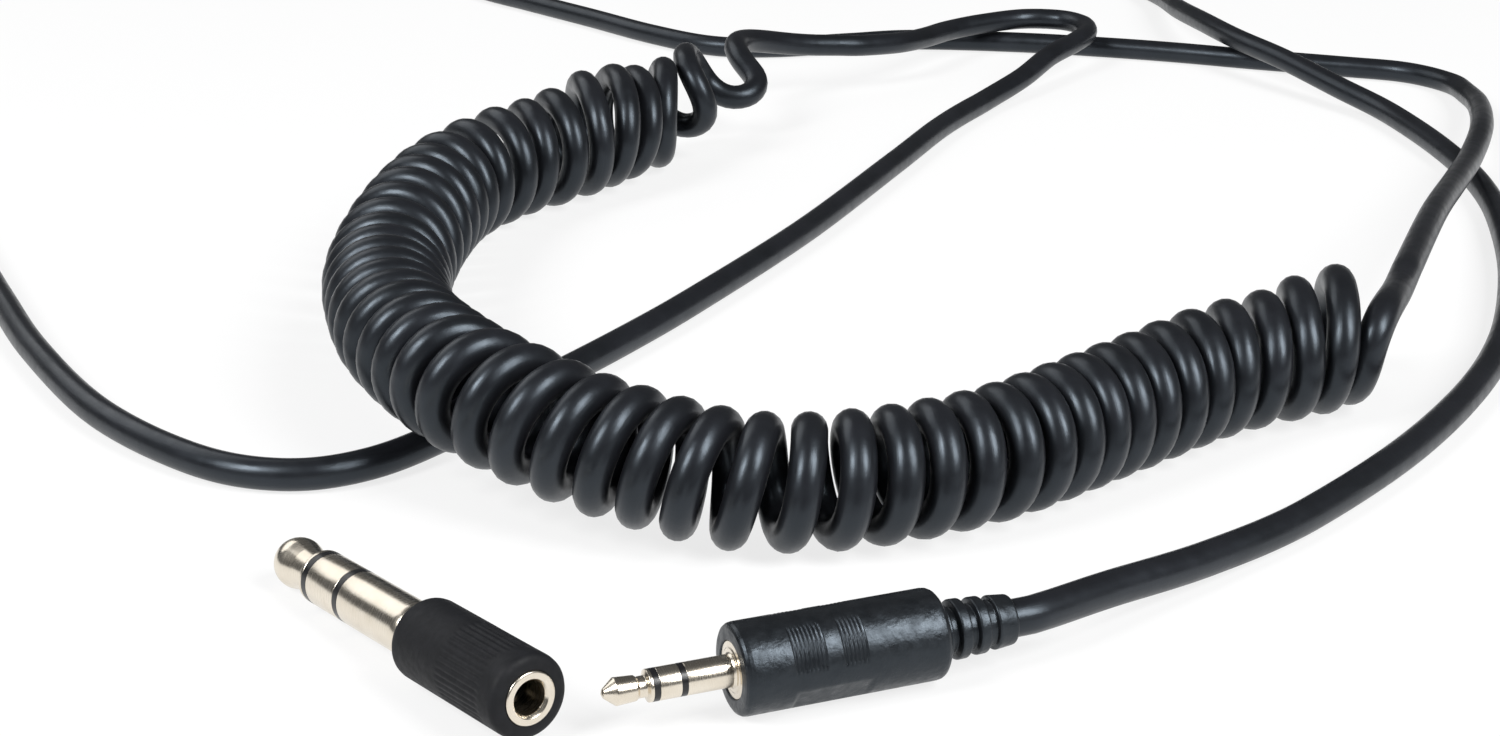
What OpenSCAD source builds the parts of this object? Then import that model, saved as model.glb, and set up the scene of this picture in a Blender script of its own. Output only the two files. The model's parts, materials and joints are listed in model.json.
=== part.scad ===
// Coiled headphone lead: a stereo plug, a straight cord, a curl, a second straight cord and
// a three-contact connector, with the lead's large plug adapter lying beside it.
// Millimetres. The lead lies on z = 0, +Z is up, and the origin is the middle of the ground
// that the whole lead covers.

/* [Cord] */
// Outside diameter of the cord
cord_d = 4.2; // [3.8:0.1:4.4]
// Diameter of each insulated wire inside the cord
wire_d = 0.6; // [0.4:0.05:0.7]

/* [Curl] */
// Outside diameter of the curl over most of its length
curl_od = 16.6; // [15.8:0.1:17.2]
// Outside diameter of the last, loose curls
curl_end_od = 21; // [18:0.5:22]

/* [Small plug] */
// Diameter of the small plug's contacts
plug_d = 3.5; // [3.4:0.05:3.6]
// Length of the small plug's contacts in front of its body
plug_reach = 14.3; // [13.8:0.1:15]
// Length of the tip contact
plug_tip_l = 5.4; // [5:0.1:6]
// Length of the ring contact
plug_ring_l = 2.35; // [2:0.05:2.8]
// Length of each black ring that shows between two contacts
plug_gap_l = 0.65; // [0.5:0.05:0.9]
// Diameter of the nickel flange in the body's front face
plug_flange_d = 6.2; // [5.8:0.1:6.8]
// Diameter of the moulded body
plug_body_d = 10; // [9:0.1:11]
// Length of the moulded body without its strain relief
plug_body_l = 23.5; // [21:0.5:26]
// Length of the ribbed strain relief
relief_l = 8.7; // [7:0.1:10]
// Diameter of the strain relief where it leaves the body
relief_d = 6.6; // [6.2:0.1:7.5]
// Diameter of the strain relief at the cord
relief_end_d = 5.6; // [5.4:0.1:6.1]

/* [Large adapter] */
// Diameter of the adapter's contacts
adapter_d = 6.35; // [6.2:0.05:6.5]
// Length of the contacts in front of the adapter's body
adapter_reach = 31; // [30:0.5:32]
// Length of the tip contact
adapter_tip_l = 9; // [8:0.1:9.4]
// Diameter of the ball at the end of the tip contact
adapter_ball_d = 6; // [5.6:0.1:6.2]
// Length of the ring contact
adapter_ring_l = 6; // [5:0.1:7]
// Length of each black ring that shows between two contacts
adapter_gap_l = 1; // [0.8:0.1:1.2]
// Diameter of the adapter's moulded body
adapter_body_d = 9.3; // [9:0.1:10.5]
// Length of the adapter's moulded body
adapter_body_l = 20; // [19:0.5:23]
// Inside diameter of the adapter's socket
socket_d = 3.7; // [3.65:0.05:3.8]
// Outside diameter of the nickel bush round the socket
bush_d = 5.9; // [5.7:0.1:6]
// Length of the nickel bush
bush_l = 6; // [5:0.5:7]

/* [Headphone connector] */
// Diameter of the connector's metal shell
shell_d = 11; // [10.4:0.1:12]
// Wall of the metal shell
shell_wall = 0.9; // [0.7:0.1:1.1]
// Length of the metal shell
shell_l = 21; // [19:0.5:24]
// Length of the metal end cap behind the shell
cap_l = 9; // [8:0.5:12]
// Length of the rubber boot behind the end cap
boot_l = 12; // [10:0.5:16]
// Diameter of the boot where it leaves the end cap
boot_d = 7.4; // [7:0.1:8]
// Diameter of the circle that the contacts stand on
contact_circle_d = 4; // [3.6:0.1:4.4]
// Outside diameter of each socket contact
contact_d = 1.7; // [1.5:0.1:1.9]
// Width of the latch button
button_w = 3; // [2.4:0.1:3.4]
// Length of the latch button
button_l = 7; // [6:0.5:8]
// How far the latch button stands out of the shell
button_rise = 0.9; // [0.6:0.1:1.2]

/* [Hidden] */

$fn = 48;
up = [0, 0, 1];
cord_r = cord_d / 2;
// Small gap between a moulding and the round thing it was moulded on
moulded_gap = 0.02;
// Overlap of a cut past the face that it opens
past = 0.5;

// Colours
nickel = "#c8beaa";
black = "#1e2024";
cord_black = "#17181c";
gold = "#c9a24a";
natural = "#d8d4c8";

// ---- Places of the three hard pieces -------------------------------------------------------

// Centre of the small plug's front face, and the way its tip points, from +X towards +Y
plug_at = [13, -199];
plug_heading = 201.5;
plug_z = plug_body_d / 2;

// Centre of the adapter's front face, and the way its tip points
adapter_at = [-19.5, -190.8];
adapter_heading = 128.3;
// The adapter rests on its body's front edge and on the ball of its tip
adapter_edge = 0.8;
adapter_ball_at = adapter_reach - adapter_ball_d / 2;
adapter_tilt = atan((adapter_body_d - adapter_ball_d) / 2 / (adapter_ball_at + adapter_edge));
adapter_z = adapter_body_d / 2 * cos(adapter_tilt) - adapter_edge * sin(adapter_tilt);

// Centre of the headphone connector's cord end, and the way its open end points
connector_at = [-134.8, 1];
connector_heading = 117;
connector_z = shell_d / 2;

// Each of these pieces is drawn along its own +Z, which points out of its contacts
module at_plug() {
    translate([plug_at.x, plug_at.y, plug_z])
        rotate([0, 0, plug_heading]) rotate([0, 90, 0]) children();
}

module at_adapter() {
    translate([adapter_at.x, adapter_at.y, adapter_z])
        rotate([0, 0, adapter_heading]) rotate([0, 90 + adapter_tilt, 0]) children();
}

module at_connector() {
    translate([connector_at.x, connector_at.y, connector_z])
        rotate([0, 0, connector_heading]) rotate([0, 90, 0]) children();
}

// ---- Round building blocks -----------------------------------------------------------------

module rod(r, from, to) {
    translate([0, 0, from]) cylinder(r = r, h = to - from);
}

module sleeve(r_out, r_in, from, to) {
    difference() {
        rod(r_out, from, to);
        rod(r_in, from - past, to + past);
    }
}

// A round wire of the cord, beside the axis
module wire(side, turn, from, to) {
    rotate([0, 0, turn]) translate([side, 0, 0]) rod(wire_d / 2, from, to);
}

// ---- Small plug ----------------------------------------------------------------------------

plug_r = plug_d / 2;
plug_tip_base = plug_reach - plug_tip_l;
plug_ring_top = plug_tip_base - plug_gap_l;
plug_ring_base = plug_ring_top - plug_ring_l;
plug_sleeve_top = plug_ring_base - plug_gap_l;
// Radii of the nested rod and tubes, from the axis outwards
plug_rod_r = 0.45;
plug_tip_tube_r = 0.75;
plug_ring_tube_r = 1;
plug_ring_insulator_r = 1.3;
// How far each one runs back into the body, the rod furthest
plug_rod_tail = -9;
plug_tip_tube_tail = -7.6;
plug_ring_tube_tail = -6.2;
plug_ring_insulator_tail = -4.8;
plug_sleeve_tail = -3.6;
plug_sleeve_tail_r = 2.3;
plug_flange_t = 1;
// Tip contact: nose cone, cylinder, neck and collar
plug_nose_r = 1.42;
plug_nose_l = 2.1;
plug_nose_end_r = 0.35;
plug_collar_l = 0.35;
plug_neck_r = 1.15;
plug_neck_l = 0.9;
plug_neck_slope = 0.25;
// Inner mould of hard plastic round the solder joints, and the body round that
inner_mould_r = 3.7;
inner_mould_end = -19;
wire_room_r = 2;
jacket_end = -13;
body_edge = 0.9;
body_rear_bevel = 1.8;
relief_groove_w = 0.9;
relief_groove_depth = 0.75;
relief_groove_pitch = 2.3;
// Place of the first groove behind the body
relief_first_groove = 1.2;
// Least wall between a groove's floor and the cord
relief_wall = 0.35;

module plug_tip() {
    collar_top = plug_tip_base + plug_collar_l;
    neck_bottom = collar_top + plug_neck_slope;
    neck_top = neck_bottom + plug_neck_l;
    color(nickel) at_plug() rotate_extrude() polygon([
        [0, plug_rod_tail], [plug_rod_r, plug_rod_tail], [plug_rod_r, plug_tip_base],
        [plug_r, plug_tip_base], [plug_r, collar_top], [plug_neck_r, neck_bottom],
        [plug_neck_r, neck_top], [plug_nose_r, neck_top + plug_neck_slope],
        [plug_nose_r, plug_reach - plug_nose_l], [plug_nose_end_r, plug_reach],
        [0, plug_reach]
    ]);
}

module plug_tip_insulator() {
    color(black) at_plug() union() {
        sleeve(plug_tip_tube_r, plug_rod_r, plug_tip_tube_tail, plug_tip_base);
        sleeve(plug_r, plug_rod_r, plug_ring_top, plug_tip_base);
    }
}

module plug_ring() {
    color(nickel) at_plug() union() {
        sleeve(plug_ring_tube_r, plug_tip_tube_r, plug_ring_tube_tail, plug_ring_top);
        sleeve(plug_r, plug_tip_tube_r, plug_ring_base, plug_ring_top);
    }
}

module plug_ring_insulator() {
    color(black) at_plug() union() {
        sleeve(plug_ring_insulator_r, plug_ring_tube_r, plug_ring_insulator_tail,
               plug_ring_base);
        sleeve(plug_r, plug_ring_tube_r, plug_sleeve_top, plug_ring_base);
    }
}

module plug_sleeve() {
    color(nickel) at_plug() union() {
        sleeve(plug_r, plug_ring_insulator_r, -plug_flange_t, plug_sleeve_top);
        sleeve(plug_flange_d / 2, plug_ring_insulator_r, -plug_flange_t, 0);
        sleeve(plug_sleeve_tail_r, plug_ring_insulator_r, plug_sleeve_tail, -plug_flange_t);
    }
}

// One wire is soldered to each contact's tail, and all three run back to the cord's jacket
module plug_wires() {
    ring_wire_at = plug_tip_tube_r + moulded_gap + wire_d / 2;
    sleeve_wire_at = plug_ring_insulator_r + moulded_gap + wire_d / 2;
    color(gold) at_plug() union() {
        wire(0, 0, jacket_end, plug_rod_tail);
        wire(ring_wire_at, 0, jacket_end, plug_ring_tube_tail);
        wire(sleeve_wire_at, 180, jacket_end, plug_sleeve_tail);
    }
}

module plug_inner_mould() {
    color(natural) at_plug() difference() {
        rod(inner_mould_r, inner_mould_end, -plug_flange_t);
        rod(plug_sleeve_tail_r + moulded_gap, plug_sleeve_tail, past);
        rod(wire_room_r, jacket_end, plug_sleeve_tail + past);
        rod(cord_r + moulded_gap, inner_mould_end - past, jacket_end + moulded_gap);
    }
}

module relief_groove(k) {
    back = relief_first_groove + relief_groove_pitch * k;
    at = -plug_body_l - back;
    r = relief_d / 2 - (relief_d - relief_end_d) / 2 * back / relief_l;
    floor_r = max(r - relief_groove_depth, cord_r + relief_wall);
    sleeve(r + past, floor_r, at - relief_groove_w / 2, at + relief_groove_w / 2);
}

module plug_body() {
    body_r = plug_body_d / 2;
    relief_r = relief_d / 2;
    grooves = floor((relief_l - relief_first_groove) / relief_groove_pitch);
    color(black) at_plug() difference() {
        rotate_extrude() union() {
            polygon([
                [0, -plug_body_l - relief_l], [relief_end_d / 2, -plug_body_l - relief_l],
                [relief_r, -plug_body_l], [body_r - body_rear_bevel, -plug_body_l],
                [body_r, -plug_body_l + body_rear_bevel], [body_r, -body_edge],
                [body_r - body_edge, -body_edge], [body_r - body_edge, 0], [0, 0]
            ]);
            translate([body_r - body_edge, -body_edge]) circle(r = body_edge);
        }
        rod(plug_flange_d / 2, -plug_flange_t, past);
        rod(inner_mould_r + moulded_gap, inner_mould_end, -plug_flange_t + past / 10);
        rod(cord_r + moulded_gap, -plug_body_l - relief_l - past, inner_mould_end + past);
        for (k = [0:grooves - 1]) relief_groove(k);
    }
}

// ---- Adapter -------------------------------------------------------------------------------

adapter_r = adapter_d / 2;
adapter_body_r = adapter_body_d / 2;
adapter_tip_base = adapter_reach - adapter_tip_l;
adapter_ring_top = adapter_tip_base - adapter_gap_l;
adapter_ring_base = adapter_ring_top - adapter_ring_l;
adapter_sleeve_top = adapter_ring_base - adapter_gap_l;
// Radii of the nested rod and tubes, from the axis outwards
adapter_rod_r = 0.9;
adapter_tip_tube_r = 1.2;
adapter_ring_tube_r = 1.6;
adapter_ring_insulator_r = 2.1;
// How far each one runs back into the body
adapter_rod_tail = -3.2;
adapter_tip_tube_tail = -2.4;
adapter_ring_tube_tail = -2.4;
adapter_ring_insulator_tail = -1.6;
adapter_flange_r = 3.7;
adapter_flange_t = 1.6;
// The sleeve contact narrows where the body's front lip grips it
adapter_neck_in_body_r = adapter_r - 0.2;
adapter_collar_l = 0.7;
adapter_neck_r = 2.3;
adapter_neck_l = 0.6;
// Socket: the bush, then a plastic liner with two contact springs in slots beside its bore
socket_r = socket_d / 2;
bush_r = bush_d / 2;
bush_rim = 0.2;
adapter_wall = 0.9;
liner_r = adapter_body_r - adapter_wall;
liner_top = -adapter_flange_t;
liner_bottom = -adapter_body_l + bush_l;
socket_bottom = -adapter_body_l + plug_reach + 0.4;
spring_t = 0.3;
spring_w = 1.6;
spring_gap = 0.35;
spring_lead = 0.8;
// The liner's bore is a little wider than the bush's
liner_bore_r = socket_r + 0.25;

module adapter_tip() {
    collar_top = adapter_tip_base + adapter_collar_l;
    neck_top = collar_top + adapter_neck_l;
    ball_r = adapter_ball_d / 2;
    color(nickel) at_adapter() rotate_extrude() union() {
        polygon([
            [0, adapter_rod_tail], [adapter_rod_r, adapter_rod_tail],
            [adapter_rod_r, adapter_tip_base], [adapter_r, adapter_tip_base],
            [adapter_r, collar_top], [adapter_neck_r, collar_top],
            [adapter_neck_r, neck_top], [ball_r, adapter_ball_at], [0, adapter_ball_at]
        ]);
        translate([0, adapter_ball_at]) intersection() {
            circle(r = ball_r);
            square([ball_r, ball_r]);
        }
    }
}

module adapter_tip_insulator() {
    color(black) at_adapter() union() {
        sleeve(adapter_tip_tube_r, adapter_rod_r, adapter_tip_tube_tail, adapter_tip_base);
        sleeve(adapter_r, adapter_rod_r, adapter_ring_top, adapter_tip_base);
    }
}

module adapter_ring() {
    color(nickel) at_adapter() union() {
        sleeve(adapter_ring_tube_r, adapter_tip_tube_r, adapter_ring_tube_tail,
               adapter_ring_top);
        sleeve(adapter_r, adapter_tip_tube_r, adapter_ring_base, adapter_ring_top);
    }
}

module adapter_ring_insulator() {
    color(black) at_adapter() union() {
        sleeve(adapter_ring_insulator_r, adapter_ring_tube_r, adapter_ring_insulator_tail,
               adapter_ring_base);
        sleeve(adapter_r, adapter_ring_tube_r, adapter_sleeve_top, adapter_ring_base);
    }
}

module adapter_sleeve() {
    color(nickel) at_adapter() union() {
        sleeve(adapter_r, adapter_ring_insulator_r, moulded_gap, adapter_sleeve_top);
        sleeve(adapter_neck_in_body_r, adapter_ring_insulator_r, -adapter_flange_t,
               moulded_gap);
        sleeve(adapter_flange_r, adapter_ring_insulator_r, -adapter_flange_t,
               -adapter_edge);
    }
}

// A leaf beside the socket's bore, fixed at the blind end, with a round bump that reaches in
// as far as the plug's own radius there
module leaf(turn, bump_at, touch_r) {
    leaf_at = liner_bore_r + spring_gap;
    bump_r = (leaf_at + spring_t - touch_r) / 2;
    rotate([0, 0, turn]) union() {
        translate([leaf_at, -spring_w / 2, bump_at - spring_lead])
            cube([spring_t, spring_w, leaf_tail - bump_at + spring_lead]);
        translate([touch_r + bump_r, -spring_w / 2, bump_at])
            rotate([-90, 0, 0]) cylinder(r = bump_r, h = spring_w);
    }
}

// Where the bumps stand, behind the socket's face: at the ring and at the neck of the tip
ring_bump_at = -adapter_body_l + plug_ring_top - plug_ring_l / 2;
tip_bump_at = -adapter_body_l + plug_tip_base + plug_collar_l + plug_neck_slope
    + plug_neck_l / 2;
leaf_tail = adapter_rod_tail - 0.4;

module adapter_ring_spring() {
    color(gold) at_adapter() leaf(90, ring_bump_at, plug_r);
}

module adapter_tip_spring() {
    color(gold) at_adapter() leaf(270, tip_bump_at, plug_neck_r);
}

// Slot in the liner that one leaf lies and moves in
module leaf_slot(turn, bump_at) {
    rotate([0, 0, turn])
        translate([0, -spring_w / 2 - spring_gap / 2, bump_at - spring_lead - spring_gap])
            cube([liner_bore_r + 2 * spring_gap + spring_t, spring_w + spring_gap,
                  leaf_tail - bump_at + spring_lead + spring_gap]);
}

module adapter_liner() {
    color(natural) at_adapter() difference() {
        rod(liner_r - moulded_gap, liner_bottom, liner_top);
        rod(liner_bore_r, liner_bottom - past, socket_bottom);
        rod(adapter_ring_tube_r + moulded_gap, adapter_ring_tube_tail, past);
        rod(adapter_rod_r + moulded_gap, adapter_rod_tail, past);
        leaf_slot(90, ring_bump_at);
        leaf_slot(270, tip_bump_at);
    }
}

module adapter_bush() {
    color(nickel) at_adapter() union() {
        sleeve(bush_r, socket_r, -adapter_body_l - bush_rim, liner_bottom);
    }
}

module adapter_body() {
    color(black) at_adapter() difference() {
        rotate_extrude() union() {
            polygon([
                [0, -adapter_body_l], [adapter_body_r - adapter_edge, -adapter_body_l],
                [adapter_body_r, -adapter_body_l + adapter_edge],
                [adapter_body_r, -adapter_edge],
                [adapter_body_r - adapter_edge, -adapter_edge],
                [adapter_body_r - adapter_edge, 0], [0, 0]
            ]);
            translate([adapter_body_r - adapter_edge, -adapter_edge])
                circle(r = adapter_edge);
        }
        rod(adapter_neck_in_body_r + moulded_gap, -adapter_edge - past, past);
        rod(adapter_flange_r + moulded_gap, -adapter_flange_t, -adapter_edge);
        rod(liner_r, liner_bottom, liner_top + past / 10);
        rod(bush_r + moulded_gap, -adapter_body_l - past, liner_bottom + past / 10);
    }
}

// ---- Headphone connector -------------------------------------------------------------------

// Places along its axis, from the cord's end of the boot, which is 0
shell_r = shell_d / 2;
shell_bore_r = shell_r - shell_wall;
cap_from = boot_l - 4;
shell_from = cap_from + cap_l;
shell_to = shell_from + shell_l;
thread_l = 4;
insert_from = shell_from + thread_l + 1;
insert_to = shell_to - 0.6;
insert_r = shell_bore_r - moulded_gap;
contact_r = contact_d / 2;
contact_bore_r = 0.5;
contact_tail = 2.5;
contact_recess = 0.5;
contact_turns = [0, 120, 240];
clamp_from = cap_from + 2;
clamp_to = shell_from - 0.5;
clamp_slot = 0.8;
connector_jacket_end = clamp_to + 0.5;
thread_r = shell_bore_r - 0.05;
cap_wall = 0.9;
cap_end_r = 4.4;
clamp_r = thread_r - cap_wall - 0.1;
boot_end_r = 3;
boot_flange_r = clamp_r - 0.1;
// The latch tips about a cross pin at its back end
latch_t = 1;
latch_pivot = insert_from + 2;
latch_back = 0.7;
latch_end = shell_to - 2.5;
latch_gap = 0.35;
latch_top = shell_bore_r - latch_gap;
latch_w = button_w - 0.6;
latch_room = 2.2;
latch_floor = latch_top - latch_room;
latch_pin_r = 0.3;
latch_pin_clearance = 0.03;
latch_pin_half = latch_w / 2 + latch_gap + 0.45;
button_from = latch_end - button_l - 1;
// Bow spring that stands in the groove and holds the latch up
bow_t = 0.25;
bow_from = latch_pivot + 1.5;
bow_to = latch_end - 1;
bow_flat = 1.2;

module connector_contacts() {
    color(gold) at_connector() for (turn = contact_turns)
        rotate([0, 0, turn]) translate([contact_circle_d / 2, 0, 0]) difference() {
            rod(contact_r, insert_from - contact_tail, insert_to - contact_recess);
            rod(contact_bore_r, insert_from + 2, insert_to + past);
        }
}

// The latch and its spring lie in a groove along the insert's top, which is at local -X
module latch_groove() {
    width = latch_w + 2 * latch_gap;
    translate([-shell_r, -width / 2, insert_from - past])
        cube([shell_r - latch_floor, width, insert_to - insert_from + 2 * past]);
}

module across_latch(r, half) {
    translate([-latch_top + latch_t / 2, half, latch_pivot])
        rotate([90, 0, 0]) cylinder(r = r, h = 2 * half);
}

module connector_insert() {
    color(black) at_connector() difference() {
        rod(insert_r, insert_from, insert_to);
        for (turn = contact_turns)
            rotate([0, 0, turn]) translate([contact_circle_d / 2, 0, 0])
                rod(contact_r + moulded_gap, insert_from - past, insert_to + past);
        latch_groove();
        across_latch(latch_pin_r, latch_pin_half);
    }
}

module connector_latch_pin() {
    color(nickel) at_connector() across_latch(latch_pin_r, latch_pin_half);
}

module connector_wires() {
    color(gold) at_connector() for (turn = contact_turns)
        wire(contact_circle_d / 2 - 0.55, turn, connector_jacket_end,
             insert_from - contact_tail);
}

// Split plastic ring that the end cap squeezes onto the cord
module connector_clamp() {
    color(black) at_connector() difference() {
        sleeve(clamp_r, cord_r + moulded_gap, clamp_from, clamp_to);
        translate([-clamp_slot / 2, 0, clamp_from - past])
            cube([clamp_slot, clamp_r + past, clamp_to - clamp_from + 2 * past]);
    }
}

module connector_latch() {
    color(nickel) at_connector() difference() {
        union() {
            translate([-latch_top, -latch_w / 2, latch_pivot - latch_back])
                cube([latch_t, latch_w, latch_end - latch_pivot + latch_back]);
            translate([-shell_r - button_rise, -button_w / 2 + latch_gap, button_from])
                cube([shell_r + button_rise - latch_top + latch_t / 2,
                      button_w - 2 * latch_gap, button_l]);
        }
        across_latch(latch_pin_r + latch_pin_clearance, latch_w);
    }
}

module connector_spring() {
    crown = latch_room - latch_t - latch_pin_clearance;
    middle_at = (bow_from + bow_to) / 2;
    color(nickel) at_connector()
        translate([-latch_floor, latch_w / 2, 0]) rotate([90, 0, 0])
            linear_extrude(latch_w) polygon([
                [0, bow_from], [-crown, middle_at - bow_flat], [-crown, middle_at + bow_flat],
                [0, bow_to], [0, bow_to - 4 * bow_t],
                [-crown + bow_t, middle_at + bow_flat - bow_t / 2],
                [-crown + bow_t, middle_at - bow_flat + bow_t / 2], [0, bow_from + 4 * bow_t]
            ]);
}

module connector_shell() {
    color(nickel) at_connector() difference() {
        rod(shell_r, shell_from, shell_to);
        rod(shell_bore_r, shell_from - past, shell_to + past);
        translate([-shell_r - past, -button_w / 2, button_from - latch_gap])
            cube([shell_wall + 2 * past, button_w, button_l + 2 * latch_gap]);
    }
}

module connector_cap() {
    color(nickel) at_connector() difference() {
        union() {
            rotate_extrude() polygon([
                [0, cap_from], [cap_end_r, cap_from], [shell_r, cap_from + cap_l / 2],
                [shell_r, shell_from], [0, shell_from]
            ]);
            rod(thread_r, shell_from - past, shell_from + thread_l);
        }
        rod(thread_r - cap_wall, clamp_from - 0.8, shell_from + thread_l + past);
        rod(boot_d / 2 + moulded_gap, cap_from - past, clamp_from);
    }
}

module connector_boot() {
    ribs = 4;
    rib_pitch = 1.7;
    color(black) at_connector() difference() {
        rotate_extrude() polygon([
            [0, 0], [boot_end_r, 0], [boot_d / 2, cap_from],
            [boot_d / 2, clamp_from - 0.8], [boot_flange_r, clamp_from - 0.8],
            [boot_flange_r, clamp_from], [0, clamp_from]
        ]);
        rod(cord_r + moulded_gap, -past, clamp_from + past);
        for (k = [0:ribs - 1]) {
            at = 1 + rib_pitch * k;
            r = boot_end_r + (boot_d / 2 - boot_end_r) * at / cap_from;
            sleeve(r + past, r - 0.45, at, at + rib_pitch / 2);
        }
    }
}

// ---- Cords ---------------------------------------------------------------------------------

function unit(v) = v / norm(v);

// Direction at point i of a route, from its two neighbours
function heading_at(route, i) =
    unit(route[min(i + 1, len(route) - 1)] - route[max(i - 1, 0)]);

// The side of each ring, carried along the route without twisting
function sides_along(headings) = [
    for (i = 0, s = unit(cross(headings[0], up)); i < len(headings);
         i = i + 1,
         s = i < len(headings) ? unit(s - (s * headings[i]) * headings[i]) : s) s
];

// One unbroken tube through the points of a route, with flat ends square to it
module tube(route, r, sides) {
    headings = [for (i = [0:len(route) - 1]) heading_at(route, i)];
    across = sides_along(headings);
    count = len(route);
    points = [
        for (i = [0:count - 1], k = [0:sides - 1])
            let (a = 360 * (k + 0.5) / sides)
                route[i] + r * (cos(a) * across[i] + sin(a) * cross(across[i], headings[i]))
    ];
    wall = [
        for (i = [0:count - 2], k = [0:sides - 1])
            let (a = i * sides + k, b = i * sides + (k + 1) % sides)
                each [[a, b, b + sides], [a, b + sides, a + sides]]
    ];
    start = [for (k = [1:sides - 2]) [0, k + 1, k]];
    last = (count - 1) * sides;
    end = [for (k = [1:sides - 2]) [last, last + k, last + k + 1]];
    polyhedron(points = points, faces = concat(start, wall, end), convexity = 10);
}

// A point of a Bezier curve between two points that leaves and arrives in given directions
function bend(a, a_way, b, b_way, reach, t) =
    let (p = a + reach * a_way, q = b - reach * b_way)
        (1 - t) ^ 3 * a + 3 * (1 - t) ^ 2 * t * p + 3 * (1 - t) * t ^ 2 * q + t ^ 3 * b;

// Where the cord leaves the small plug and where it goes into the headphone connector
plug_way = [cos(plug_heading), sin(plug_heading), 0];
plug_start = [plug_at.x, plug_at.y, plug_z];
connector_way = [cos(connector_heading), sin(connector_heading), 0];
connector_start = [connector_at.x, connector_at.y, connector_z];

// Where the straight cords meet the curl, and the way the cord runs there
curl_in = [106.7, -97.6, 13.6];
curl_in_way = unit([-0.36, -0.93, 0]);
curl_out = [32, 58, 9.4];
curl_out_way = unit([0.9, 0.4, -0.1]);

// Length of the straight run beside the curl, and of the one before the connector
curl_run = 6;
connector_run = 9;

// From the plug: out to the right, back over the far edge, round, and to the curl
plug_route = [
    plug_start + plug_way * jacket_end,
    plug_start - plug_way * (plug_body_l + relief_l),
    [47, -185, 4.9], [55, -178, 4.1], [68, -167, 2.7], [82, -154, 2.1], [99, -134, 2.1],
    [113, -113, 2.1], [123, -93, 2.1], [131, -70, 2.1], [137, -46, 2.1], [141, -20, 2.1],
    [141, 5, 2.1], [137, 31, 2.4], [130, 46, 3.9], [122, 60, 6], [115, 74, 6.9],
    [111, 90, 6.7], [109, 110, 5],
    [108, 135, 2.8], [101, 160, 2.1], [86, 183, 2.1], [62, 199.5, 2.1], [32, 206.9, 2.1],
    [0, 205.5, 2.1], [-30, 196, 2.1], [-52, 179, 2.1], [-56, 159, 2.1], [-47, 143, 2.1],
    [-35, 130, 2.1], [-20, 114, 2.1], [-6, 98.5, 2.1], [7, 88, 2.1], [20, 86.5, 2.1],
    [36, 90.5, 2.1], [50, 93.5, 2.1], [72, 91, 2.1], [90, 86.5, 2.1], [104, 82, 2.1],
    [118, 76.5, 2.1],
    [136, 70, 2.1], [148, 65, 2.1], [154.5, 56, 2.2], [155, 45, 2.8], [153, 30, 4.3],
    [147, 7, 6.4], [139, -15, 7.2], [130.5, -36, 9], [120.5, -61, 11.6],
    curl_in - curl_run * curl_in_way,
    curl_in
];

// From the curl: over the far run, round, back under the curl and to the left
headphone_route = [
    curl_out,
    curl_out + curl_run * curl_out_way,
    [45, 66, 8], [50.5, 73.5, 7.2], [56.5, 82.5, 6.7], [64, 88.5, 6.7], [73, 93.5, 6.6],
    [81, 92.5, 6.6], [85, 87, 6.7], [85, 80.5, 6.6], [82, 73.5, 6.5], [75.5, 64.5, 5.6],
    [69, 54.5, 3.6], [60.5, 42, 2.2], [51, 24, 2.1],
    [41, 0, 2.1], [24, -40, 2.1], [7, -74, 2.1], [-3, -92, 2.1],
    [-14, -110, 2.1], [-25, -128, 2.1], [-34, -138, 2.1], [-44, -141, 2.1],
    [-56, -136, 2.1], [-72, -120, 2.1], [-87, -96, 2.1], [-98, -74, 2.1],
    [-109, -51, 2.1], [-119, -31, 3],
    connector_start - connector_run * connector_way,
    connector_start,
    connector_start + connector_way * connector_jacket_end
];

// The curl's middle line: x, y, how far it is lifted off the surface, how many curls it has
// made so far, how far it has opened from its usual to its last diameter, and how far its
// curls lean along the line
curl_route = [
    [102.1, -106.3, 0, -0.5, 0.32, 1.04], [92.9, -112.6, 0, 1.22, 0.64, 0.6],
    [85.5, -116.8, 0, 2.64, 0.33, 0.4], [75.3, -123, 0, 4.61, 0.23, 0.36],
    [63.2, -133.4, 0, 7.47, 0.1, 0.25], [48.1, -146.6, 0, 11.48, 0.02, 0.1],
    [38.8, -152.6, 0, 13.63, 0.01, 0.05], [29, -156.6, 0, 15.69, 0.01, 0],
    [19.5, -158.2, 0, 17.43, 0.02, 0], [10.3, -157.6, 0.6, 18.97, 0.05, 0],
    [-3.6, -152.9, 2.7, 21.81, 0.07, 0], [-13.8, -146.6, 4.6, 24.04, 0.09, 0],
    [-21.4, -138.7, 5.3, 25.96, 0.08, 0], [-29.3, -124.8, 5.3, 29.08, 0.08, 0],
    [-33.7, -110.5, 4.3, 31.78, 0.16, 0], [-37.1, -87.8, 1.4, 35.07, 0.42, 0],
    [-36.9, -61.8, 0, 37.99, 0.52, 0.1], [-33.6, -42.1, 0, 40.9, 0.5, 0.2],
    [-26.8, -27.7, 0, 42.9, 0.54, 0.25], [-18.7, -17.8, 0, 44.75, 0.58, 0.3],
    [-10.7, -7.2, 0, 46.5, 0.99, 0.67], [-3.6, 2.8, 0, 48.4, 0.48, 0.51],
    [2.8, 7, 3, 49.2, 0.08, 0.45], [2.6, 14, 4.6, 49.95, -0.27, 0.74],
    [13.3, 26.7, 5.6, 50.65, -1.27, 0.23], [-8, 41.9, 3.9, 51.4, -1.04, 0.02]
];
curl_start = 0.28;
curl_end = 50.75;
rings_per_curl = 8;
curl_sides = 6;
cord_sides = 8;
// Side of the block that cuts off what would lie under the surface
table = 500;
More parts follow.
